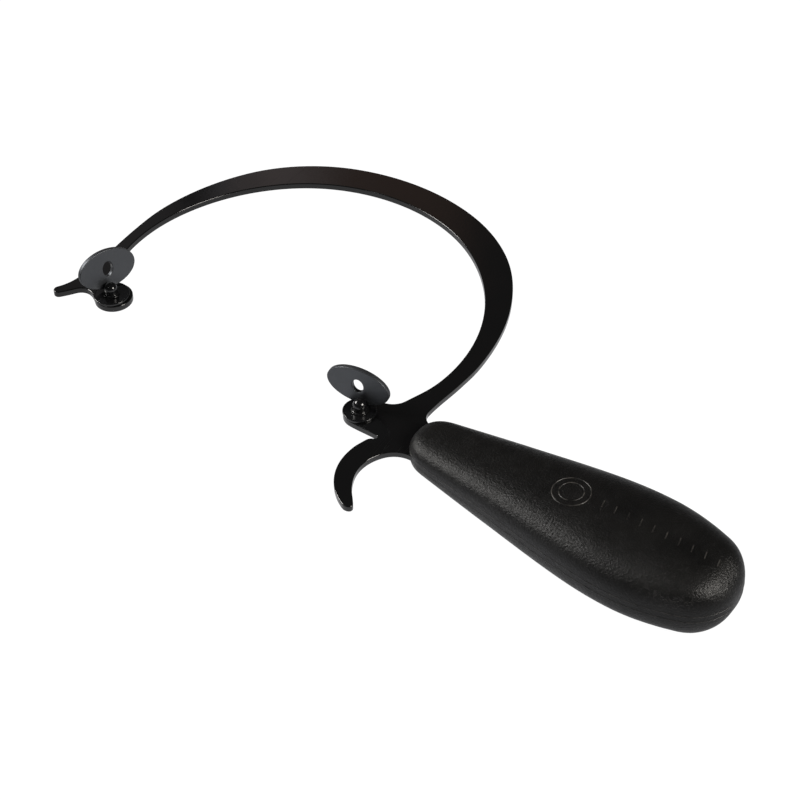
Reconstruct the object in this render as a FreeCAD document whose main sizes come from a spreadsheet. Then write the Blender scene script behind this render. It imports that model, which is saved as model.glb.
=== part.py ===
import FreeCAD, Part
import math
import os
import Sketcher
from FreeCAD import Placement, Rotation, Vector

# A hand bow: a flat C-shaped steel plate on a moulded grip, with a finger hook beside the grip.
# Each end of the C carries a domed post, a base ring that turns on it and an oval tilting plate.
#
# Frame: the origin is the near post's axis at the underside of the steel plate. +X runs along the
# working line from the far post to the near post and on to the grip's butt, +Y runs from that line
# to the crown of the C, and +Z is up, out of the plate's top face. Sizes are in millimetres.

os.makedirs("parts", exist_ok=True)
doc = FreeCAD.newDocument("HandBow")

# ---------------------------------------------------------------- driving dimensions
DIMENSIONS = [
    ("plate_thickness", 2.7, "coated steel sheet"),
    ("edge_break", 0.3, "chamfer round the sheet's edges"),
    ("post_spacing", 120.0, "between the two post axes"),
    ("near_lug_radius", 6.8, "rounded end of the plate under the near post"),
    ("far_lug_radius", 7.6, "rounded end of the plate under the far post"),
    ("near_lug_offset", 0.35, "along X, from the near post's axis to its lug's centre"),
    ("far_lug_offset", 0.5, "along X, from the far post's axis to its lug's centre"),
    ("lug_offset_y", 0.45, "along Y, from each post's axis to its lug's centre"),
    ("outer_centre_x", -59.0, "middle of the C's outer edge"),
    ("outer_centre_y", 47.0, "its height above the working line"),
    ("inner_centre_x", -60.0, "middle of the C's inner edge"),
    ("inner_centre_y", 39.5, "its height above the working line"),
    ("tang_half_width", 8.6, "part of the plate inside the grip"),
    ("tang_end", 112.0, "where the tang stops inside the grip"),
    ("tang_hole_radius", 4.0, "keying holes through the tang"),
    ("tang_hole_first", 48.0, "first keying hole"),
    ("tang_hole_pitch", 22.0, "from one keying hole to the next"),
    ("shank_radius", 2.0, "post through the plate"),
    ("tail_radius", 3.0, "countersunk, peened tail of the post"),
    ("tail_depth", 1.0, "depth of the countersink"),
    ("neck_radius", 2.3, "post between the ring and the dome"),
    ("neck_height", 1.45, "above the ring's top"),
    ("dome_radius", 2.6, "round head of the post"),
    ("dome_undercut", 0.9, "height of the dome's centre above its flat"),
    ("near_ring_radius", 6.4, "near base ring, outside"),
    ("far_ring_radius", 7.2, "far base ring, outside"),
    ("ring_bore_radius", 2.06, "runs on the post's shank"),
    ("ring_thickness", 0.95, "base ring"),
    ("ring_lift", 0.03, "running gap under the base ring"),
    ("ring_chamfer", 0.3, "top edge of the base ring"),
    ("disc_half_width", 12.6, "oval tilting plate, half its long axis"),
    ("disc_half_height", 8.1, "half its short axis"),
    ("disc_thickness", 1.9, "oval tilting plate"),
    ("disc_hole_half_width", 2.3, "hole, along the plate's long axis"),
    ("disc_hole_half_height", 3.1, "hole, along the plate's short axis"),
    ("disc_chamfer", 0.2, "round the oval plate's rim"),
    ("disc_lift", 0.5, "tilt axis above the ring's top"),
    ("grip_nose_x", 24.3, "front end of the grip"),
    ("grip_length", 130.0, "nose to butt"),
    ("grip_yaw", -2.2, "grip axis against the working line, in degrees"),
    ("grip_axis_y", 1.3, "grip axis at the nose"),
]

sheet = doc.addObject("Spreadsheet::Sheet", "Dimensions")
for row, (alias, value, meaning) in enumerate(DIMENSIONS, start=1):
    sheet.set("A%d" % row, alias)
    sheet.set("B%d" % row, str(value))
    sheet.set("C%d" % row, meaning)
    sheet.setAlias("B%d" % row, alias)
doc.recompute()


def dim(alias):
    """A driving dimension as a number."""
    return float(sheet.get(alias))


def bind(owner, prop, expression):
    """Tie a property or a sketch constraint to the sheet; D.name stands for the sheet's cell."""
    owner.setExpression(prop, expression.replace("D.", "Dimensions."))


def point(x, y):
    return Vector(x, y, 0)


def polar(centre, radius, degrees):
    angle = math.radians(degrees)
    return centre + Vector(radius * math.cos(angle), radius * math.sin(angle), 0)


# ---------------------------------------------------------------- sketches and bodies
def new_body(label, placement=None):
    body = doc.addObject("PartDesign::Body", label)
    body.Label = label
    if placement is not None:
        body.Placement = placement
    return body


def plane_of(body, role):
    return next(f for f in body.Origin.OriginFeatures if f.Role == role)


def new_sketch(body, name, role="XY_Plane"):
    sketch = body.newObject("Sketcher::SketchObject", name)
    sketch.AttachmentSupport = [(plane_of(body, role), "")]
    sketch.MapMode = "FlatFace"
    return sketch


def heading(degrees):
    """The unit vector that points along an angle in the sketch."""
    return polar(point(0, 0), 1, degrees)


def tangent_arc(start, direction, end):
    """The arc that leaves start along direction and reaches end."""
    chord = end - start
    along = chord * (1 / chord.Length)
    side = direction - along * direction.dot(along)
    if side.Length < 1e-6:
        return Part.LineSegment(start, end)
    half_turn = math.atan2(side.Length, direction.dot(along))
    rise = chord.Length / 2 * math.tan(half_turn / 2)
    return Part.Arc(start, (start + end) * 0.5 + side * (rise / side.Length), end)


def two_arcs(start, direction, end, end_direction):
    """Two tangent arcs that leave start along direction and reach end along end_direction."""
    span = end - start
    both = direction + end_direction
    spread = 2 * (1 - direction.dot(end_direction))
    if spread < 1e-6:
        reach = span.dot(span) / (4 * span.dot(end_direction))
    else:
        along = span.dot(both)
        reach = (math.sqrt(along ** 2 + spread * span.dot(span)) - along) / spread
    middle = (start + direction * reach + end - end_direction * reach) * 0.5
    first = tangent_arc(start, direction, middle)
    turn = (middle - start) * (1 / (middle - start).Length)
    at_middle = turn * (2 * direction.dot(turn)) - direction
    return first, tangent_arc(middle, at_middle, end), middle


def add_outline(sketch, start, steps):
    """A closed outline. A step is one of:
    ("line", end), ("arc", point on the way, end) or ("blend", end, direction on arriving there).
    A blend is two arcs that also leave along the direction of the step before it.
    """
    here = start
    direction = None
    ends = []

    def add(geometry, target):
        index = sketch.addGeometry(geometry)
        forward = (sketch.getPoint(index, 1) - here).Length < 1e-6
        ends.append((index, 1, 2) if forward else (index, 2, 1))
        return target

    for step in steps:
        if step[0] == "line":
            direction = (step[1] - here).normalize()
            here = add(Part.LineSegment(here, step[1]), step[1])
        elif step[0] == "arc":
            arc = Part.Arc(here, step[1], step[2])
            radius = step[2] - arc.toShape().Curve.Center
            direction = Vector(-radius.y, radius.x, 0).normalize()
            if direction.dot(step[2] - step[1]) < 0:
                direction = direction * -1
            here = add(arc, step[2])
        else:
            arrival = heading(step[2])
            first, second, middle = two_arcs(here, direction, step[1], arrival)
            here = add(first, middle)
            here = add(second, step[1])
            direction = arrival
    for k, (index, _, tail) in enumerate(ends):
        following, head, _ = ends[(k + 1) % len(ends)]
        sketch.addConstraint(Sketcher.Constraint("Coincident", index, tail, following, head))


def add_circle(sketch, x, y, radius_expression, radius):
    index = sketch.addGeometry(Part.Circle(point(x, y), Vector(0, 0, 1), radius))
    number = sketch.addConstraint(Sketcher.Constraint("Radius", index, radius))
    bind(sketch, "Constraints[%d]" % number, radius_expression)


def pad(body, sketch, length_expression, name="Pad"):
    feature = body.newObject("PartDesign::Pad", name)
    feature.Profile = sketch
    bind(feature, "Length", length_expression)
    doc.recompute()
    return feature


def pocket(body, sketch, name):
    """Cut right through, and make sure that something was cut."""
    before = body.Shape.Volume
    feature = body.newObject("PartDesign::Pocket", name)
    feature.Profile = sketch
    feature.Type = "ThroughAll"
    feature.Reversed = True
    doc.recompute()
    if body.Shape.Volume > before - 0.01:
        raise RuntimeError(name + " cuts nothing")
    return feature


def chamfer_all(body, base, expression, keep):
    """Chamfer the edges of the base feature's shape for which keep(edge) is true."""
    names = ["Edge%d" % k for k, edge in enumerate(base.Shape.Edges, start=1) if keep(edge)]
    feature = body.newObject("PartDesign::Chamfer", "EdgeBreak")
    feature.Base = (base, names)
    bind(feature, "Size", expression)
    doc.recompute()
    return feature


# ---------------------------------------------------------------- steel plate
near_post = point(0, 0)
far_post = point(-dim("post_spacing"), 0)
outer_centre = point(dim("outer_centre_x"), dim("outer_centre_y"))
inner_centre = point(dim("inner_centre_x"), dim("inner_centre_y"))
tang_half = dim("tang_half_width")
tang_end = dim("tang_end")


# The C's edges as (angle, radius) about their own centres, each in the order it is drawn in.
OUTER_EDGE = [
    (-6, 82.35),
    (8, 81.5),
    (24, 81.85),
    (50, 83.15),
    (90, 82.3),
    (131, 83.35),
    (160, 81.85),
    (181, 81.9),
]
INNER_EDGE = [(180, 75.5), (150, 74.95), (110, 76.05), (70, 76.55), (40, 76.0), (0, 76.0)]


def rounded_edge(centre, stations):
    """Blend steps through (angle, radius) stations, each heading at right angles to its radius
    but for the slope of the radius from one neighbour to the other."""
    turn = 90 if stations[-1][0] > stations[0][0] else -90
    steps = []
    for k, (degrees, radius) in enumerate(stations):
        before = stations[max(k - 1, 0)]
        after = stations[min(k + 1, len(stations) - 1)]
        sweep = radius * math.radians(abs(after[0] - before[0]))
        slope = math.degrees(math.atan2(after[1] - before[1], sweep))
        outward = -slope if turn > 0 else slope
        steps.append(("blend", polar(centre, radius, degrees), degrees + turn + outward))
    return steps


def plate_outline():
    """The C, its two lugs, the tip hook, the finger hook and the tang, counter-clockwise."""
    far_centre = far_post + point(dim("far_lug_offset"), dim("lug_offset_y"))
    near_centre = near_post + point(dim("near_lug_offset"), dim("lug_offset_y"))
    far_lug = [polar(far_centre, dim("far_lug_radius"), degrees) for degrees in (233, 327, 92)]
    near_lug = [polar(near_centre, dim("near_lug_radius"), degrees) for degrees in (109, 190, 269)]
    tang_corner = point(tang_end - tang_half, tang_half)
    return tang_corner, [
        ("line", point(27.0, tang_half)),
        ("blend", point(21.1, 14.6), 86),
        ("line", point(22.5, 32.0)),
        *rounded_edge(outer_centre, OUTER_EDGE),
        ("blend", point(-138.5, 7.0), 272),
        ("blend", point(-141.7, -7.9), 238),
        ("blend", point(-138.5, -10.4), 50),
        ("blend", point(-129.5, -2.8), 350),
        ("blend", far_lug[0], 323),
        ("arc", far_lug[1], far_lug[2]),
        ("line", far_lug[2] + heading(182) * 3.6),
        ("blend", point(-133.0, 20.8), 107),
        *rounded_edge(inner_centre, INNER_EDGE),
        ("blend", point(13.0, 20.8), 250),
        ("blend", near_lug[0] + heading(19) * 8.3, 199),
        ("line", near_lug[0]),
        ("arc", near_lug[1], near_lug[2]),
        ("line", point(12.0, -6.7)),
        ("blend", point(12.0, -8.6), 204),
        ("blend", point(9.1, -13.9), 253),
        ("blend", point(8.3, -20.5), 270),
        ("blend", point(21.6, -41.5), 335),
        ("blend", point(24.8, -39.3), 126),
        ("blend", point(19.6, -32.6), 122),
        ("blend", point(16.4, -22.0), 87),
        ("blend", point(28.0, -tang_half), 0),
        ("line", point(tang_end - tang_half, -tang_half)),
        ("arc", point(tang_end, 0), tang_corner),
    ]


def make_frame():
    body = new_body("bow_frame")
    outline = new_sketch(body, "PlateOutline")
    start, steps = plate_outline()
    add_outline(outline, start, steps)
    plate = pad(body, outline, "D.plate_thickness", "Plate")

    def on_a_face(edge):
        return edge.BoundBox.ZLength < 1e-6

    chamfer_all(body, plate, "D.edge_break", on_a_face)

    holes = new_sketch(body, "PostAndKeyHoles")
    add_circle(holes, near_post.x, near_post.y, "D.shank_radius", dim("shank_radius"))
    add_circle(holes, far_post.x, far_post.y, "D.shank_radius", dim("shank_radius"))
    for k in range(3):
        x = dim("tang_hole_first") + k * dim("tang_hole_pitch")
        add_circle(holes, x, 0, "D.tang_hole_radius", dim("tang_hole_radius"))
    drilled = pocket(body, holes, "Holes")

    post_edges = []
    for k, edge in enumerate(drilled.Shape.Edges, start=1):
        at_bottom = abs(edge.BoundBox.ZMin) < 1e-6 and edge.BoundBox.ZLength < 1e-6
        round_edge = isinstance(edge.Curve, Part.Circle) and len(edge.Vertexes) == 1
        if at_bottom and round_edge and abs(edge.Curve.Radius - dim("shank_radius")) < 1e-6:
            post_edges.append("Edge%d" % k)
    sink = body.newObject("PartDesign::Chamfer", "TailCountersinks")
    sink.Base = (drilled, post_edges)
    bind(sink, "Size", "D.tail_depth")
    doc.recompute()
    return body


# ---------------------------------------------------------------- posts, rings and tilting plates
ring_base = dim("plate_thickness") + dim("ring_lift")
ring_top = ring_base + dim("ring_thickness")


def make_post(label, where):
    """A revolved post: peened tail, shank, neck and domed head, drawn as a half section."""
    body = new_body(label, Placement(where, Rotation()))
    section = new_sketch(body, "HalfSection", "XZ_Plane")
    tail = dim("tail_radius")
    shank = dim("shank_radius")
    neck = dim("neck_radius")
    dome = dim("dome_radius")
    shoulder = ring_top + dim("ring_lift")
    rim = shoulder + dim("neck_height")
    centre = rim + dim("dome_undercut")
    rim_radius = math.sqrt(dome ** 2 - dim("dome_undercut") ** 2)
    rise = math.radians(45)
    middle = point(dome * math.cos(rise), centre + dome * math.sin(rise))
    steps = [
        ("line", point(tail, 0)),
        ("line", point(shank, dim("tail_depth"))),
        ("line", point(shank, shoulder)),
        ("line", point(neck, shoulder)),
        ("line", point(neck, rim)),
        ("line", point(rim_radius, rim)),
        ("arc", middle, point(0, centre + dome)),
        ("line", point(0, 0)),
    ]
    add_outline(section, point(0, 0), steps)
    turned = body.newObject("PartDesign::Revolution", "Turned")
    turned.Profile = section
    turned.ReferenceAxis = (section, ["V_Axis"])
    turned.Angle = 360
    doc.recompute()
    return body


def make_ring(label, where, radius):
    """The base ring that turns on the post's shank; radius names its cell in the sheet."""
    body = new_body(label, Placement(where + Vector(0, 0, ring_base), Rotation()))
    section = new_sketch(body, "RingSection")
    add_circle(section, 0, 0, "D." + radius, dim(radius))
    add_circle(section, 0, 0, "D.ring_bore_radius", dim("ring_bore_radius"))
    blank = pad(body, section, "D.ring_thickness", "Ring")

    def top_rim(edge):
        at_top = edge.BoundBox.ZMin > dim("ring_thickness") - 1e-6
        return at_top and edge.BoundBox.XLength > 2 * dim("ring_bore_radius") + 1

    chamfer_all(body, blank, "D.ring_chamfer", top_rim)
    return body


def make_disc(label, where, lean, yaw, roll, sideways, setback):
    """An oval plate standing on its long edge behind the post, turned by yaw about the post.

    sideways and setback are from the post's axis to the middle of the plate's lower edge. The body's
    own frame has the tilt axis along its X and the plate's faces along its Y.
    """
    foot = Vector(sideways, setback, ring_top + dim("disc_lift"))
    turn = Placement(where, Rotation(Vector(0, 0, 1), yaw))
    stand = Placement(foot, Rotation(Vector(1, 0, 0), lean))
    body = new_body(label, turn.multiply(stand))
    face = new_sketch(body, "OvalFace", "XZ_Plane")
    along = heading(roll)
    across = heading(roll + 90)
    drop = Vector(along.y * dim("disc_half_width"), across.y * dim("disc_half_height"), 0).Length
    centre = point(0, drop)
    rim = centre + along * dim("disc_half_width"), centre + across * dim("disc_half_height")
    hole = centre + across * dim("disc_hole_half_height"), centre - along * dim("disc_hole_half_width")
    for long_end, short_end in (rim, hole):
        face.addGeometry(Part.Ellipse(long_end, short_end, centre))
    blank = body.newObject("PartDesign::Pad", "Oval")
    blank.Profile = face
    blank.Midplane = True
    bind(blank, "Length", "D.disc_thickness")
    doc.recompute()

    def rim_edge(edge):
        return edge.BoundBox.YLength < 1e-6 and edge.BoundBox.XLength > dim("disc_half_width")

    chamfer_all(body, blank, "D.disc_chamfer", rim_edge)
    return body


# ---------------------------------------------------------------- grip
def blend(stations, s):
    """Smooth value at s from (s, value) stations, by a Catmull-Rom curve."""
    for k in range(len(stations) - 1):
        (s0, v0), (s1, v1) = stations[k], stations[k + 1]
        if s <= s1:
            break
    before = stations[max(k - 1, 0)]
    after = stations[min(k + 2, len(stations) - 1)]
    slope0 = (v1 - before[1]) / (s1 - before[0])
    slope1 = (after[1] - v0) / (after[0] - s0)
    step = s1 - s0
    u = (s - s0) / step
    return (
        v0 * (1 + 2 * u) * (1 - u) ** 2
        + slope0 * step * u * (1 - u) ** 2
        + v1 * (3 - 2 * u) * u ** 2
        - slope1 * step * (1 - u) * u ** 2
    )


# Half width and half height of the grip's body along its length, from the nose, before the two
# ends are rounded off.
GRIP_HALF_WIDTH = [(0, 9.4), (10, 11.7), (40, 16.6), (75, 22.0), (95, 23.1), (110, 20.6), (130, 13.5)]
GRIP_HALF_HEIGHT = [(0, 7.1), (10, 7.2), (40, 10.2), (75, 12.8), (95, 13.0), (110, 13.0), (130, 12.4)]
# The lengths over which the two ends are rounded, and how square each end's outline is.
NOSE_ROUNDING = 10.0
BUTT_ROUNDING = 13.0
NOSE_POWER = 2.6
BUTT_POWER = 2.4
# The nose is blunter seen from the side than from above.
NOSE_HEIGHT_SHARE = 0.7
# How square the oval section is, and how many points it is drawn through.
SECTION_POWER = 3.0
SECTION_POINTS = 28


def end_factor(s, length):
    """1 along the grip, falling to near 0 at its two rounded ends: (for width, for height)."""
    from_nose = min(s / NOSE_ROUNDING, 1.0)
    from_butt = min((length - s) / BUTT_ROUNDING, 1.0)
    nose = (1 - (1 - from_nose) ** NOSE_POWER) ** (1 / NOSE_POWER)
    butt = (1 - (1 - from_butt) ** BUTT_POWER) ** (1 / BUTT_POWER)
    return nose * butt, nose ** NOSE_HEIGHT_SHARE * butt


def grip_section(s, length):
    """A closed, slightly square oval across the grip at distance s from its nose."""
    width_factor, height_factor = end_factor(s, length)
    half_width = blend(GRIP_HALF_WIDTH, s) * width_factor
    half_height = blend(GRIP_HALF_HEIGHT, s) * height_factor
    points = []
    for k in range(SECTION_POINTS):
        angle = 2 * math.pi * (k + 0.5) / SECTION_POINTS
        c = math.cos(angle)
        z = math.sin(angle)
        y_part = math.copysign(abs(c) ** (2 / SECTION_POWER), c)
        z_part = math.copysign(abs(z) ** (2 / SECTION_POWER), z)
        points.append(Vector(s, half_width * y_part, half_height * z_part))
    curve = Part.BSplineCurve()
    curve.interpolate(points, PeriodicFlag=True)
    return Part.Wire(curve.toShape())


def make_grip(frame):
    """The moulded grip round the tang, with its material running through the keying holes."""
    length = dim("grip_length")
    stations = [0.15, 0.8, 2.2, 4.5, 8.0]
    stations += [14 + 9.0 * k for k in range(10)]
    stations += [length - reach for reach in (20, 13, 7.5, 3.6, 1.2, 0.2)]
    form = doc.addObject("Part::Feature", "GripForm")
    form.Shape = Part.makeLoft([grip_section(s, length) for s in stations], True, False)
    at_nose = Vector(dim("grip_nose_x"), dim("grip_axis_y"), dim("plate_thickness") / 2)
    form.Placement = Placement(at_nose, Rotation(Vector(0, 0, 1), dim("grip_yaw")))
    grip = doc.addObject("Part::Cut", "grip")
    grip.Label = "grip"
    grip.Base = form
    grip.Tool = frame
    doc.recompute()
    return grip


# ---------------------------------------------------------------- the assembly
frame = make_frame()
pieces = [frame, make_grip(frame)]
for side, where, lean, yaw, roll, sideways, setback in (
    ("near", near_post, 0.5, 8.4, -1.4, -2.1, 3.65),
    ("far", far_post, -10.3, 75.9, -7.4, 2.2, 3.3),
):
    pieces.append(make_post(side + "_post", where))
    pieces.append(make_ring(side + "_base_ring", where, side + "_ring_radius"))
    pieces.append(make_disc(side + "_tilt_plate", where, lean, yaw, roll, sideways, setback))

doc.recompute()
for item in doc.Objects:
    if "Invalid" in item.State or "Error" in item.State:
        raise RuntimeError("%s is %s" % (item.Label, item.State))
for piece in pieces:
    if piece.Shape.isNull() or not piece.Shape.isValid():
        raise RuntimeError(piece.Label + " has no valid shape")
    if len(piece.Shape.Solids) != 1:
        raise RuntimeError("%s has %d solids" % (piece.Label, len(piece.Shape.Solids)))

for piece in pieces:
    piece.Shape.exportStep(os.path.join("parts", piece.Label + ".step"))
    print("%-16s %9.1f mm3" % (piece.Label, piece.Shape.Volume))
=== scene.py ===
import math

import bmesh
import bpy
from mathutils import Matrix, Vector


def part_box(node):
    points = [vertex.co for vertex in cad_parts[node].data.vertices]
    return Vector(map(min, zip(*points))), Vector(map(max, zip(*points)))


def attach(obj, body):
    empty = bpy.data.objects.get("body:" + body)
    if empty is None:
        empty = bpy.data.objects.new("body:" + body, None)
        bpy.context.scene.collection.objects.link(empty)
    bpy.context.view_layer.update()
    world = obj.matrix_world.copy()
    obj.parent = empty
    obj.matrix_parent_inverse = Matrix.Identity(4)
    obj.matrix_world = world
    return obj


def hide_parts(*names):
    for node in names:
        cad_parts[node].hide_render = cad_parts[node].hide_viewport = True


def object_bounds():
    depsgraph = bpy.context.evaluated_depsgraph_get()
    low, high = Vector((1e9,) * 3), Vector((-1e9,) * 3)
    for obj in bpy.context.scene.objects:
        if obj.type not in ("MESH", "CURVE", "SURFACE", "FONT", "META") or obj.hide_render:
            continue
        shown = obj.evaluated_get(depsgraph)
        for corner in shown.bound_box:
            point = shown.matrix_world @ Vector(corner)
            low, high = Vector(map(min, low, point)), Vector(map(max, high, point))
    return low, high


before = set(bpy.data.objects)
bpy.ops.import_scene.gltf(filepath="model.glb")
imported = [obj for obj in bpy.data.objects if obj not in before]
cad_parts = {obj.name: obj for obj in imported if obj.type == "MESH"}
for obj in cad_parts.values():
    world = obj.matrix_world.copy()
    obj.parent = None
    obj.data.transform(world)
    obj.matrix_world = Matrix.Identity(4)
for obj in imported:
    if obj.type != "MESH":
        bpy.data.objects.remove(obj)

CAD_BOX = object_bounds()
MM = 0.001
SHARP_DEGREES = 30.0


# ---------------------------------------------------------------- materials
class Surface:
    """A Principled material and the nodes that feed it, in the object's own coordinates."""

    def __init__(self, name, colour=None, roughness=None):
        self.material = bpy.data.materials.new(name)
        self.material.use_nodes = True
        self.tree = self.material.node_tree
        self.shader = self.tree.nodes["Principled BSDF"]
        if colour is not None:
            self.shader.inputs["Base Color"].default_value = (*colour, 1)
        if roughness is not None:
            self.shader.inputs["Roughness"].default_value = roughness
        self.place = self.node("ShaderNodeTexCoord").outputs["Object"]

    def node(self, kind, **settings):
        made = self.tree.nodes.new(kind)
        for name, value in settings.items():
            setattr(made, name, value)
        return made

    def link(self, source, target):
        self.tree.links.new(source, target)

    def stretched(self, scale, rotation=(0, 0, 0)):
        """The object's coordinates, scaled differently along each axis."""
        mapping = self.node("ShaderNodeMapping")
        mapping.inputs["Scale"].default_value = scale
        mapping.inputs["Rotation"].default_value = rotation
        self.link(self.place, mapping.inputs["Vector"])
        return mapping.outputs["Vector"]

    def noise(self, scale, detail=2.0, roughness=0.5, place=None):
        made = self.node("ShaderNodeTexNoise")
        made.inputs["Scale"].default_value = scale
        made.inputs["Detail"].default_value = detail
        made.inputs["Roughness"].default_value = roughness
        self.link(place or self.place, made.inputs["Vector"])
        return made.outputs["Fac"]

    def remap(self, value, low, high, to_low=0.0, to_high=1.0):
        made = self.node("ShaderNodeMapRange")
        self.link(value, made.inputs["Value"])
        for name, number in (
            ("From Min", low),
            ("From Max", high),
            ("To Min", to_low),
            ("To Max", to_high),
        ):
            made.inputs[name].default_value = number
        return made.outputs["Result"]

    def maths(self, operation, first, second):
        made = self.node("ShaderNodeMath", operation=operation)
        for k, value in enumerate((first, second)):
            if isinstance(value, (int, float)):
                made.inputs[k].default_value = value
            else:
                self.link(value, made.inputs[k])
        return made.outputs[0]

    def mix(self, share, first, second):
        """A colour between two colours."""
        made = self.node("ShaderNodeMix", data_type="RGBA")
        self.link(share, made.inputs["Factor"])
        made.inputs["A"].default_value = (*first, 1)
        made.inputs["B"].default_value = (*second, 1)
        return made.outputs["Result"]

    def bump(self, height, distance, strength=1.0, under=None):
        made = self.node("ShaderNodeBump")
        made.inputs["Strength"].default_value = strength
        made.inputs["Distance"].default_value = distance
        self.link(height, made.inputs["Height"])
        if under is not None:
            self.link(under, made.inputs["Normal"])
        return made.outputs["Normal"]

    def specks(self, cells, size, share):
        """1 inside small round specks, one at most in each cell and only in some of the cells."""
        made = self.node("ShaderNodeTexVoronoi")
        made.inputs["Scale"].default_value = cells
        self.link(self.place, made.inputs["Vector"])
        near = self.maths("LESS_THAN", made.outputs["Distance"], size)
        pick = self.node("ShaderNodeSeparateColor")
        self.link(made.outputs["Color"], pick.inputs["Color"])
        return self.maths("MULTIPLY", near, self.maths("LESS_THAN", pick.outputs[0], share))

    def hairlines(self, scale, angle, width):
        """Thin scratches, all roughly along one direction in the XY plane."""
        across = self.stretched((scale, scale * 0.035, scale), (0, 0, angle))
        wander = self.noise(1.0, 1.5, 0.6, across)
        band = self.maths("ABSOLUTE", self.maths("SUBTRACT", wander, 0.5), 0.0)
        return self.maths("LESS_THAN", band, width)


def coated_sheet():
    """Gloss black coating on flat sheet: faint orange peel, hairline scratches and dust."""
    s = Surface("coated_sheet")
    dust = s.specks(150, 0.02, 0.22)
    s.link(s.mix(dust, (0.004, 0.004, 0.0042), (0.32, 0.3, 0.27)), s.shader.inputs["Base Color"])
    cloud = s.remap(s.noise(55, 3.0, 0.6), 0.3, 0.7, 0.08, 0.15)
    scuffed = s.remap(s.noise(40, 1.0), 0.5, 0.62)
    scuffs = s.maths("MULTIPLY", s.hairlines(420, 0.7, 0.004), scuffed)
    worn = s.maths("ADD", cloud, s.maths("MULTIPLY", scuffs, 0.22))
    s.link(s.maths("ADD", worn, s.maths("MULTIPLY", dust, 0.5)), s.shader.inputs["Roughness"])
    peel = s.bump(s.noise(900, 2.0), 0.000006)
    s.link(s.bump(dust, 0.00004, 1.0, peel), s.shader.inputs["Normal"])
    return s.material


def polished_metal():
    """Polished black of the posts and base rings."""
    s = Surface("polished_black", (0.005, 0.005, 0.0055))
    s.link(s.remap(s.noise(500, 2.0), 0.3, 0.7, 0.12, 0.2), s.shader.inputs["Roughness"])
    s.link(s.bump(s.noise(1400, 1.0), 0.000004), s.shader.inputs["Normal"])
    return s.material


def tilt_plate_metal():
    """Smooth dark coating on the oval plates, with faint tumbling marks."""
    s = Surface("tilt_plate_black")
    s.shader.inputs["Specular IOR Level"].default_value = 0.8
    s.shader.inputs["Specular Tint"].default_value = (0.86, 0.92, 1.0, 1)
    cloud = s.remap(s.noise(90, 3.0, 0.6), 0.3, 0.7)
    tone = s.mix(cloud, (0.012, 0.0122, 0.0135), (0.016, 0.0163, 0.0178))
    s.link(tone, s.shader.inputs["Base Color"])
    s.link(s.remap(s.noise(160, 4.0, 0.65), 0.3, 0.7, 0.4, 0.5), s.shader.inputs["Roughness"])
    s.link(s.bump(s.noise(1100, 3.0, 0.6), 0.000005), s.shader.inputs["Normal"])
    return s.material


def grip_moulding():
    """Satin black moulding: fine grain, a rubbed and scratched butt, a few pale specks of lint."""
    s = Surface("grip_moulding")
    s.shader.inputs["Specular IOR Level"].default_value = 0.3
    lint = s.specks(110, 0.022, 0.14)
    cloud = s.remap(s.noise(70, 4.0, 0.6), 0.35, 0.7)
    tone = s.mix(cloud, (0.0024, 0.0024, 0.0024), (0.0046, 0.0045, 0.0043))
    blend = s.node("ShaderNodeMix", data_type="RGBA")
    s.link(lint, blend.inputs["Factor"])
    s.link(tone, blend.inputs["A"])
    blend.inputs["B"].default_value = (0.16, 0.15, 0.13, 1)
    s.link(blend.outputs["Result"], s.shader.inputs["Base Color"])
    axes = s.node("ShaderNodeSeparateXYZ")
    s.link(s.place, axes.inputs["Vector"])
    rubbed = s.remap(axes.outputs["X"], 0.12, 0.143)
    patchy = s.maths("MULTIPLY", rubbed, s.remap(s.noise(120, 3.0, 0.7), 0.38, 0.6))
    satin = s.remap(s.noise(240, 3.0, 0.6), 0.3, 0.7, 0.34, 0.45)
    polish = s.maths("MULTIPLY", patchy, 0.1)
    s.link(s.maths("SUBTRACT", satin, polish), s.shader.inputs["Roughness"])
    grain = s.bump(s.noise(1300, 3.0, 0.7), 0.00028, 1.0)
    lines = s.maths("ADD", s.hairlines(260, 0.9, 0.006), s.hairlines(300, -0.5, 0.005))
    scars = s.maths("MULTIPLY", lines, s.remap(s.noise(35, 1.0), 0.5, 0.66))
    rubs = s.maths("ADD", s.hairlines(520, 1.2, 0.03), s.hairlines(700, 0.5, 0.025))
    deep = s.maths("MULTIPLY", rubs, rubbed)
    s.link(s.bump(s.maths("ADD", scars, deep), 0.00005, 1.0, grain), s.shader.inputs["Normal"])
    return s.material


def highlit_worn_ridges():
    """The moulding's raised lines, paler and smoother than the grip round them: the paler colour is
    partly rubbed wear and partly a painted highlight for the glints on their edges.
    """
    s = Surface("grip_ridges", roughness=0.34)
    wear_and_glint = s.remap(s.noise(420, 3.0, 0.7), 0.4, 0.62)
    # Paler in patches: partly rubbed wear, partly a painted highlight standing in for the light the
    # raised lines catch.
    s.link(s.mix(wear_and_glint, (0.004, 0.004, 0.0039), (0.05, 0.047, 0.043)), s.shader.inputs["Base Color"])
    s.link(s.bump(s.noise(2600, 2.0, 0.6), 0.00003, 0.6), s.shader.inputs["Normal"])
    return s.material


# ---------------------------------------------------------------- mesh helpers
def new_piece(name, verts, faces, material, body, replaced=()):
    """A smooth-shaded mesh that rides on a body and stands for some CAD nodes."""
    mesh = bpy.data.meshes.new(name)
    mesh.from_pydata([tuple(v) for v in verts], [], faces)
    mesh.shade_smooth()
    mesh.materials.append(material)
    obj = bpy.data.objects.new(name, mesh)
    bpy.context.scene.collection.objects.link(obj)
    work = bmesh.new()
    work.from_mesh(mesh)
    bmesh.ops.recalc_face_normals(work, faces=work.faces)
    work.to_mesh(mesh)
    work.free()
    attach(obj, body)
    if replaced:
        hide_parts(*replaced)
    return obj


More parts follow.
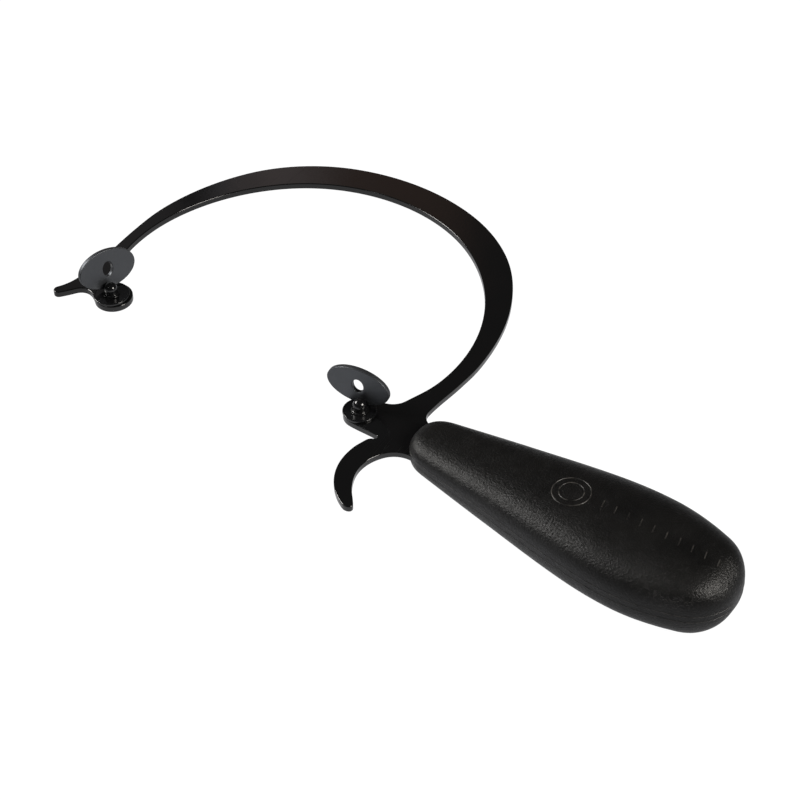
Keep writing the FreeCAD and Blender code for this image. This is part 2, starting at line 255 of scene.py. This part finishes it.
def bridge(first, second, count):
    """Quads between two closed rings of vertices that start at the given indices."""
    quads = []
    for k in range(count):
        onward = (k + 1) % count
        quads.append((first + k, first + onward, second + onward, second + k))
    return quads


def rounded(corner, before, after, radius, segments=5):
    """Points of a small arc-like curve that rounds a profile's corner."""
    start = corner + (before - corner).normalized() * radius
    end = corner + (after - corner).normalized() * radius
    points = []
    for k in range(segments + 1):
        t = k / segments
        points.append(start * (1 - t) ** 2 + corner * (2 * t * (1 - t)) + end * t ** 2)
    return points


def softened(profile, radii):
    """The closed profile with each corner rounded by its radius."""
    points = []
    for k, (corner, radius) in enumerate(zip(profile, radii)):
        points += rounded(corner, profile[k - 1], profile[(k + 1) % len(profile)], radius)
    return points


def turned(name, profile, centre, material, body, replaced, closed=False, steps=96):
    """A profile of (radius, height) turned about a vertical axis.

    An open profile starts and ends on the axis.
    """
    rings = profile if closed else profile[1:-1]
    verts = []
    for radius, height in rings:
        for k in range(steps):
            angle = 2 * math.pi * k / steps
            spoke = Vector((radius * math.cos(angle), radius * math.sin(angle), height))
            verts.append(centre + spoke)
    faces = []
    for k in range(len(rings) - 1):
        faces += bridge(k * steps, (k + 1) * steps, steps)
    last = (len(rings) - 1) * steps
    if closed:
        faces += bridge(last, 0, steps)
    else:
        verts.append(centre + Vector((0, 0, profile[0].y)))
        verts.append(centre + Vector((0, 0, profile[-1].y)))
        bottom, top = len(verts) - 2, len(verts) - 1
        faces += [(bottom, (k + 1) % steps, k) for k in range(steps)]
        faces += [(top, last + k, last + (k + 1) % steps) for k in range(steps)]
    return new_piece(name, verts, faces, material, body, replaced)


def smooth_loop(points, spacing):
    """A closed loop resampled on a smooth curve through its points; sharp corners are kept."""
    count = len(points)
    chords = [points[(k + 1) % count] - points[k] for k in range(count)]
    leaving, arriving = [], []
    for k in range(count):
        before, after = chords[k - 1], chords[k]
        if before.angle(after) > math.radians(SHARP_DEGREES):
            arriving.append(before.normalized())
            leaving.append(after.normalized())
        else:
            turn = before / before.length_squared + after / after.length_squared
            arriving.append(turn.normalized())
            leaving.append(turn.normalized())
    resampled = []
    for k, chord in enumerate(chords):
        start, end = points[k], points[(k + 1) % count]
        pull = leaving[k] * chord.length
        push = arriving[(k + 1) % count] * chord.length
        parts = max(1, round(chord.length / spacing))
        for j in range(parts):
            t = j / parts
            resampled.append(
                start * (1 + 2 * t) * (1 - t) ** 2
                + pull * t * (1 - t) ** 2
                + end * (3 - 2 * t) * t ** 2
                - push * (1 - t) * t ** 2
            )
    return resampled


# ---------------------------------------------------------------- bow plate
LEVEL_TOLERANCE = 0.02 * MM
OUTLINE_SPACING = 0.55 * MM


def outline_at(node, height):
    """The closed loop of a CAD node's edges that lie at one height, as points in order."""
    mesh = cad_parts[node].data
    neighbours = {}
    for edge in mesh.edges:
        ends = [mesh.vertices[k].co for k in edge.vertices]
        if all(abs(v.z - height) < LEVEL_TOLERANCE for v in ends):
            a, b = ((round(v.x, 7), round(v.y, 7)) for v in ends)
            if a != b:
                neighbours.setdefault(a, set()).add(b)
                neighbours.setdefault(b, set()).add(a)
    start = min(neighbours)
    loop = [start]
    previous, here = None, start
    while True:
        onward = [p for p in neighbours[here] if p != previous]
        previous, here = here, onward[0]
        if here == start:
            return [Vector((x, y, 0)) for x, y in loop]
        loop.append(here)


def make_bow(material):
    """The flat plate with rounded edges, on the CAD plate's own outline."""
    low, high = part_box("bow_frame")
    edge_break = 0.3 * MM
    edge_radius = 0.42 * MM
    arc_steps = 4
    loop = smooth_loop(outline_at("bow_frame", high.z - edge_break), OUTLINE_SPACING)
    count = len(loop)
    area = sum(loop[k - 1].cross(loop[k]).z for k in range(count))
    side = 1 if area > 0 else -1
    inward = []
    for k in range(count):
        along = loop[(k + 1) % count] - loop[k - 1]
        inward.append(Vector((-along.y, along.x, 0)).normalized() * side)
    levels = []
    for k in range(arc_steps + 1):
        a = math.pi / 2 * k / arc_steps
        inset = edge_radius * (1 - math.sin(a))
        levels.append((inset, low.z + edge_radius * (1 - math.cos(a))))
    levels += [(inset, high.z + low.z - z) for inset, z in reversed(levels)]
    verts = []
    for inset, z in levels:
        verts += [p + n * inset + Vector((0, 0, z)) for p, n in zip(loop, inward)]
    faces = []
    for k in range(len(levels) - 1):
        faces += bridge(k * count, (k + 1) * count, count)
    top = (len(levels) - 1) * count
    faces.append(tuple(range(count)))
    faces.append(tuple(range(top, top + count)))
    bow = new_piece("bow_plate", verts, faces, material, "frame", ["bow_frame"])
    even = bow.modifiers.new("flat_faces", "WEIGHTED_NORMAL")
    even.weight = 100
    return bow


# ---------------------------------------------------------------- grip
# The grip's stations from the nose, its half width and its half height there, in millimetres.
STATIONS = (0, 10, 40, 75, 95, 110, 130)
GRIP_HALF_WIDTH = list(zip(STATIONS, (9.4, 11.7, 16.6, 22.0, 23.1, 20.6, 13.5)))
GRIP_HALF_HEIGHT = list(zip(STATIONS, (7.1, 7.2, 10.2, 12.8, 13.0, 13.0, 12.4)))
GRIP_LENGTH = 130.0
# Faces nearer to the grip's middle level than this may belong to the hollow for the tang.
TANG_CLEAR = 3 * MM
# The cross-section is a superellipse of this power.
SECTION_POWER = 3.0
# Each end is rounded off over a length in millimetres, by a superellipse of its own power.
NOSE_ROUNDING = 10.0
NOSE_POWER = 2.6
BUTT_ROUNDING = 13.0
BUTT_POWER = 2.4
# The nose is rounded off less in height than in width, by this power of the width's share.
NOSE_HEIGHT_SHARE = 0.7
# Fine lines on the grip, in millimetres.
SEAM_LEVEL = 1.35
SEAM_RADIUS = 0.08
SEAM_STEPS = 700
MARK_RADIUS = 0.2
MARK_RINGS = (("outer", 6.8), ("inner", 4.4))
MARK_RING_STATION = 65.0
MARK_RING_STEPS = 72
BAR_COUNT = 10
FIRST_BAR_STATION = 77.0
BAR_PITCH = 4.9
BAR_MIDDLE_Y = 0.8
BAR_SLANT = 0.2
BAR_STEP = 0.85


def along_stations(stations, s):
    """Smooth value at s from (s, value) stations, by a Catmull-Rom curve."""
    k = next((j for j in range(len(stations) - 1) if s <= stations[j + 1][0]), len(stations) - 2)
    (s0, v0), (s1, v1) = stations[k], stations[k + 1]
    before = stations[max(k - 1, 0)]
    after = stations[min(k + 2, len(stations) - 1)]
    slope0 = (v1 - before[1]) / (s1 - before[0])
    slope1 = (after[1] - v0) / (after[0] - s0)
    step = s1 - s0
    u = (s - s0) / step
    rise = slope0 * step * u * (1 - u) ** 2 - slope1 * step * (1 - u) * u ** 2
    return v0 * (1 + 2 * u) * (1 - u) ** 2 + v1 * (3 - 2 * u) * u ** 2 + rise


def grip_half_sizes(s):
    """Half width and half height at s, with the two ends rounded off."""
    from_nose = min(s / NOSE_ROUNDING, 1.0)
    from_butt = min((GRIP_LENGTH - s) / BUTT_ROUNDING, 1.0)
    nose = max(0.0, 1 - (1 - from_nose) ** NOSE_POWER) ** (1 / NOSE_POWER)
    butt = max(0.0, 1 - (1 - from_butt) ** BUTT_POWER) ** (1 / BUTT_POWER)
    width = along_stations(GRIP_HALF_WIDTH, s) * nose * butt
    return width, along_stations(GRIP_HALF_HEIGHT, s) * nose ** NOSE_HEIGHT_SHARE * butt


def grip_frame():
    """The grip's own frame in the row frame: its origin at the nose and its X along its axis.

    The axis is the long principal axis, seen from above, of the CAD grip's outside.
    """
    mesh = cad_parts["grip"].data
    low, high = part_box("grip")
    level = (low.z + high.z) / 2
    outside = []
    for face in mesh.polygons:
        if abs(face.center.z - level) > TANG_CLEAR:
            outside.append((face.area, face.center.copy()))
    total = sum(area for area, _ in outside)
    centre = sum((place * area for area, place in outside), Vector()) / total
    centre.z = level
    xx = sum(area * (place.x - centre.x) ** 2 for area, place in outside)
    yy = sum(area * (place.y - centre.y) ** 2 for area, place in outside)
    xy = sum(area * (place.x - centre.x) * (place.y - centre.y) for area, place in outside)
    yaw = math.atan2(2 * xy, xx - yy) / 2
    axis = Vector((math.cos(yaw), math.sin(yaw), 0))
    reaches = [(v.co - centre).dot(axis) for v in mesh.vertices]
    nose = centre + axis * ((min(reaches) + max(reaches)) / 2 - GRIP_LENGTH * MM / 2)
    return Matrix.Translation(nose) @ Matrix.Rotation(yaw, 4, "Z")


def grip_point(s, angle):
    """A point on the grip's surface in its own frame, in metres."""
    half_width, half_height = grip_half_sizes(s)
    c, z = math.cos(angle), math.sin(angle)
    y_part = math.copysign(abs(c) ** (2 / SECTION_POWER), c)
    z_part = math.copysign(abs(z) ** (2 / SECTION_POWER), z)
    return Vector((s, half_width * y_part, half_height * z_part)) * MM


def make_grip(material):
    place = grip_frame()
    steps = 112
    # Stations stand closer together towards the rounded ends.
    reaches = [0.02, 0.1, 0.25, 0.5, 0.85, 1.3, 1.9, 2.6, 3.4, 4.3, 5.3, 6.4, 7.6, 8.8]
    stations = reaches + [10 + 1.5 * k for k in range(70)]
    stations += [GRIP_LENGTH - reach for reach in reversed(reaches + [10.5, 12.2])]
    # Even steps round a square-cornered oval: the angle runs faster where the corners are.
    angles = []
    for k in range(steps):
        t = 2 * math.pi * k / steps
        angles.append(t - 0.16 * math.sin(4 * t))
    verts = [place @ grip_point(s, a) for s in stations for a in angles]
    faces = []
    for k in range(len(stations) - 1):
        faces += bridge(k * steps, (k + 1) * steps, steps)
    last = (len(stations) - 1) * steps
    verts += [place @ Vector((0, 0, 0)), place @ Vector((GRIP_LENGTH * MM, 0, 0))]
    nose, butt = len(verts) - 2, len(verts) - 1
    faces += [(nose, (k + 1) % steps, k) for k in range(steps)]
    faces += [(butt, last + k, last + (k + 1) % steps) for k in range(steps)]
    return new_piece("grip_body", verts, faces, material, "frame", ["grip"])


def surface_line(name, points, radius, material, cyclic):
    """A thin raised line lying on the grip, as a tube that is half sunk in it."""
    curve = bpy.data.curves.new(name, "CURVE")
    curve.dimensions = "3D"
    curve.bevel_depth = radius
    curve.bevel_resolution = 2
    curve.use_fill_caps = True
    spline = curve.splines.new("POLY")
    spline.points.add(len(points) - 1)
    for target, point in zip(spline.points, points):
        target.co = (*point, 1)
    spline.use_cyclic_u = cyclic
    curve.materials.append(material)
    obj = bpy.data.objects.new(name, curve)
    bpy.context.scene.collection.objects.link(obj)
    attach(obj, "frame")
    return obj


def beside(half_size, other_half_size, offset):
    """A section's half size at an offset along its other axis."""
    share = (abs(offset) / other_half_size) ** SECTION_POWER
    return half_size * (1 - share) ** (1 / SECTION_POWER)


def make_seams(material):
    """Two fine parting lines round the grip, level with the faces of the plate inside it."""
    place = grip_frame()
    for name, level in (("grip_seam_upper", SEAM_LEVEL), ("grip_seam_lower", -SEAM_LEVEL)):
        near, far = [], []
        for k in range(1, SEAM_STEPS):
            s = GRIP_LENGTH * k / SEAM_STEPS
            half_width, half_height = grip_half_sizes(s)
            if half_height > abs(level):
                y = beside(half_width, half_height, level)
                near.append(place @ (Vector((s, -y, level)) * MM))
                far.append(place @ (Vector((s, y, level)) * MM))
        surface_line(name, near + far[::-1], SEAM_RADIUS * MM, material, True)


def grip_top(s, y):
    """The point of the grip's upper surface at s along it and y across it."""
    half_width, half_height = grip_half_sizes(s)
    return Vector((s, y, beside(half_height, half_width, y))) * MM


def make_marks(material):
    """Two plain rings and a row of plain bars, moulded on the grip's top."""
    place = grip_frame()
    for name, radius in MARK_RINGS:
        ring = []
        for k in range(MARK_RING_STEPS):
            t = 2 * math.pi * k / MARK_RING_STEPS
            s = MARK_RING_STATION + radius * math.cos(t)
            ring.append(place @ grip_top(s, radius * math.sin(t)))
        surface_line("grip_mark_ring_" + name, ring, MARK_RADIUS * MM, material, True)
    for k in range(BAR_COUNT):
        s = FIRST_BAR_STATION + BAR_PITCH * k
        bar = []
        for j in (-2, -1, 0, 1, 2):
            bar.append(place @ grip_top(s + BAR_SLANT * j, BAR_MIDDLE_Y - BAR_STEP * j))
        surface_line("grip_mark_bar_%d" % (k + 1), bar, MARK_RADIUS * MM, material, False)


# ---------------------------------------------------------------- posts, rings and tilting plates
# The flare at a post's foot: radius and rise above the ring, in millimetres.
POST_FLARE = (
    (3.35, 0.06),
    (3.2, 0.14),
    (2.93, 0.2),
    (2.74, 0.28),
    (2.63, 0.38),
    (2.58, 0.55),
    (2.57, 1.2),
)
HOLE_HALF_LONG = 2.3 * MM
HOLE_HALF_SHORT = 3.1 * MM


def make_post(side, material):
    """A bullet-shaped post with a flared foot on the ring and a peened tail under the plate."""
    low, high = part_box(side + "_post")
    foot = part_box(side + "_base_ring")[1].z + 0.03 * MM
    centre = Vector(((low.x + high.x) / 2, (low.y + high.y) / 2, 0))
    tail = (high.x - low.x) / 2
    dome, shank, flare = 2.6 * MM, 2.0 * MM, 3.3 * MM
    dome_steps = 18
    profile = [
        Vector((0, low.z - 0.12 * MM)),
        Vector((tail * 0.6, low.z - 0.1 * MM)),
        Vector((tail, low.z + 0.05 * MM)),
        Vector((shank, low.z + 1.0 * MM)),
        Vector((shank, foot)),
        Vector((flare, foot)),
    ]
    profile += [Vector((radius * MM, foot + rise * MM)) for radius, rise in POST_FLARE]
    for k in range(dome_steps):
        angle = math.pi / 2 * k / dome_steps
        profile.append(Vector((dome * math.cos(angle), high.z - dome + dome * math.sin(angle))))
    profile.append(Vector((0, high.z)))
    name = side + "_post_turned"
    turned(name, profile, centre, material, "frame", [side + "_post"])


def make_ring(side, material):
    """The flat base ring, with rounded edges and a shallow step inside its rim."""
    low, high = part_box(side + "_base_ring")
    centre = Vector(((low.x + high.x) / 2, (low.y + high.y) / 2, 0))
    outer, bore = (high.x - low.x) / 2, 2.06 * MM
    rim, step = 0.75 * MM, 0.12 * MM
    # Each corner's radius and height, in metres, and its rounding, in millimetres.
    corners = [
        (bore, low.z, 0.1),
        (outer, low.z, 0.12),
        (outer, high.z, 0.28),
        (outer - rim, high.z, 0.1),
        (outer - rim - step, high.z - step, 0.1),
        (bore, high.z - step, 0.1),
    ]
    points = [Vector((radius, height)) for radius, height, _ in corners]
    profile = softened(points, [bend * MM for _, _, bend in corners])
    name, body = side + "_ring_turned", side + "_ring"
    turned(name, profile, centre, material, body, [side + "_base_ring"], closed=True)


def make_tilt_plate(side, material):
    """An oval plate with an oblong hole and rounded rims, on the CAD plate's own axes."""
    node = side + "_tilt_plate"
    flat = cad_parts[node].data
    thin = max(flat.polygons, key=lambda f: f.area).normal.copy()
    if thin.y > 0:
        thin = -thin
    low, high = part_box(node)
    centre = (low + high) / 2
    spokes = [v.co - centre for v in flat.vertices]
    spokes = [p - thin * p.dot(thin) for p in spokes]
    along = max(spokes, key=lambda p: p.length).normalized()
    across = thin.cross(along)
    half_long = max(abs(p.dot(along)) for p in spokes)
    half_short = max(abs(p.dot(across)) for p in spokes)
    half_thick = max(abs((v.co - centre).dot(thin)) for v in flat.vertices)
    bend = 0.3 * MM
    arc_steps = 5
    # Insets from the rim and the depths there, over a quarter round and on to the flat face.
    round_off = []
    for k in range(arc_steps + 1):
        a = math.pi / 2 * k / arc_steps
        round_off.append((bend * (1 - math.cos(a)), half_thick - bend * (1 - math.sin(a))))
    round_off.append((2.2 * bend, half_thick))
    # The ovals of the front, from the rim to the hole: half long, half short, depth.
    front = [(half_long - inset, half_short - inset, depth) for inset, depth in round_off]
    for inset, depth in reversed(round_off):
        front.append((HOLE_HALF_LONG + inset, HOLE_HALF_SHORT + inset, depth))
    profile = front + [(a, b, -depth) for a, b, depth in reversed(front)]
    steps = 128
    verts = []
    for a, b, depth in profile:
        for k in range(steps):
            t = 2 * math.pi * k / steps
            spoke = along * (a * math.cos(t)) + across * (b * math.sin(t))
            verts.append(centre + spoke + thin * depth)
    faces = []
    for k in range(len(profile)):
        faces += bridge(k * steps, (k + 1) % len(profile) * steps, steps)
    name, body = side + "_oval_plate", side + "_plate"
    new_piece(name, verts, faces, material, body, [node])


# ---------------------------------------------------------------- floor, light and camera
def two_tone(tree, seen_colour, lit_colour):
    """A colour that the camera sees directly, with a dimmer one for the light it gives."""
    path = tree.nodes.new("ShaderNodeLightPath")
    mix = tree.nodes.new("ShaderNodeMix")
    mix.data_type = "RGBA"
    if isinstance(lit_colour, tuple):
        mix.inputs["A"].default_value = (*lit_colour, 1)
    else:
        tree.links.new(lit_colour, mix.inputs["A"])
    mix.inputs["B"].default_value = (*seen_colour, 1)
    tree.links.new(path.outputs["Is Camera Ray"], mix.inputs["Factor"])
    return mix.outputs["Result"]


def make_stage():
    """A plain white floor under the grip and a white surround; both light the object dimly."""
    size = 6.0
    gap = 0.05 * MM
    z = CAD_BOX[0][2] - gap
    mesh = bpy.data.meshes.new("floor")
    corners = [(-size, -size, z), (size, -size, z), (size, size, z), (-size, size, z)]
    mesh.from_pydata(corners, [], [(0, 1, 2, 3)])
    white = Surface("floor_white", (0.05, 0.05, 0.05), 0.9)
    white.shader.inputs["Specular IOR Level"].default_value = 0.0
    white.shader.inputs["Emission Strength"].default_value = 1.0
    away = white.node("ShaderNodeVectorMath", operation="LENGTH")
    white.link(white.place, away.inputs[0])
    fade = white.remap(away.outputs["Value"], 0.07, 0.28)
    glow = white.mix(fade, (0.78, 0.78, 0.8), (0.02, 0.02, 0.02))
    seen = two_tone(white.tree, (1.0, 1.0, 1.0), glow)
    white.link(seen, white.shader.inputs["Emission Color"])
    mesh.materials.append(white.material)
    floor = bpy.data.objects.new("floor", mesh)
    bpy.context.scene.collection.objects.link(floor)

    world = bpy.data.worlds.new("surround")
    bpy.context.scene.world = world
    world.use_nodes = True
    surround = two_tone(world.node_tree, (1.0, 1.0, 1.0), (0.03, 0.03, 0.03))
    world.node_tree.links.new(surround, world.node_tree.nodes["Background"].inputs["Color"])


def add_light(name, direction, distance, size, power, colour):
    """A soft rectangular light that looks at the object from a direction, in metres and watts."""
    aim = Vector((0.01, 0.02, 0.0))
    data = bpy.data.lights.new(name, "AREA")
    data.shape = "RECTANGLE"
    data.size, data.size_y = size
    data.energy = power
    data.color = colour
    lamp = bpy.data.objects.new(name, data)
    bpy.context.scene.collection.objects.link(lamp)
    lamp.location = aim + Vector(direction).normalized() * distance
    lamp.rotation_mode = "QUATERNION"
    lamp.rotation_quaternion = (lamp.location - aim).to_track_quat("Z", "Y")
    lamp.visible_camera = False


def from_angles(azimuth, elevation):
    """A direction from degrees east of +Y and above the floor."""
    a, e = math.radians(azimuth), math.radians(elevation)
    return math.sin(a) * math.cos(e), math.cos(a) * math.cos(e), math.sin(e)


def make_lights():
    """Softboxes beyond the nose and the butt, a small front light and dim walls behind.

    The flat sheet mirrors the walls at its crown and far stretch.
    """
    add_light("key_softbox", (-0.8, -0.25, 0.56), 0.9, (0.42, 0.3), 9.5, (1.0, 0.98, 0.95))
    add_light("front_spot", (-0.35, -0.62, 0.7), 0.8, (0.1, 0.1), 0.2, (1.0, 1.0, 1.0))
    add_light("butt_softbox", (0.84, 0.06, 0.54), 0.9, (0.36, 0.34), 9.0, (1.0, 0.96, 0.9))
    add_light("warm_wall", from_angles(-36.5, 29.0), 4.0, (0.63, 1.41), 0.5, (1.0, 0.58, 0.42))
    add_light("pale_wall", from_angles(-40.3, 29.0), 4.0, (0.31, 1.41), 0.4, (0.95, 0.93, 1.0))
    add_light("pale_wall_far", from_angles(-47.8, 37.0), 4.0, (0.35, 0.9), 0.14, (1.0, 0.94, 0.95))


def make_camera():
    """The camera at the photograph's angle."""
    target = Vector((8.74, 13.5, 2.7)) * MM
    towards = Vector((0.4091, -0.6051, 0.6830)).normalized()
    data = bpy.data.cameras.new("camera")
    data.lens = 76.14
    data.sensor_width = 36.0
    data.clip_start, data.clip_end = 0.01, 50.0
    distance = 0.626
    camera = bpy.data.objects.new("camera", data)
    bpy.context.scene.collection.objects.link(camera)
    camera.location = target + towards * distance
    camera.rotation_mode = "QUATERNION"
    camera.rotation_quaternion = towards.to_track_quat("Z", "Y")
    bpy.context.scene.camera = camera


# ---------------------------------------------------------------- the scene
make_camera()
make_stage()
make_lights()

sheet_black = coated_sheet()
turned_black = polished_metal()
plate_black = tilt_plate_metal()
moulding = grip_moulding()

make_bow(sheet_black)
make_grip(moulding)
# The seams and marks share the paler ridge colour, which is partly a painted highlight.
make_seams(highlit_worn_ridges())
make_marks(highlit_worn_ridges())
for side in ("near", "far"):
    make_post(side, turned_black)
    make_ring(side, turned_black)
    make_tilt_plate(side, plate_black)

bpy.context.scene.view_settings.view_transform = "Standard"
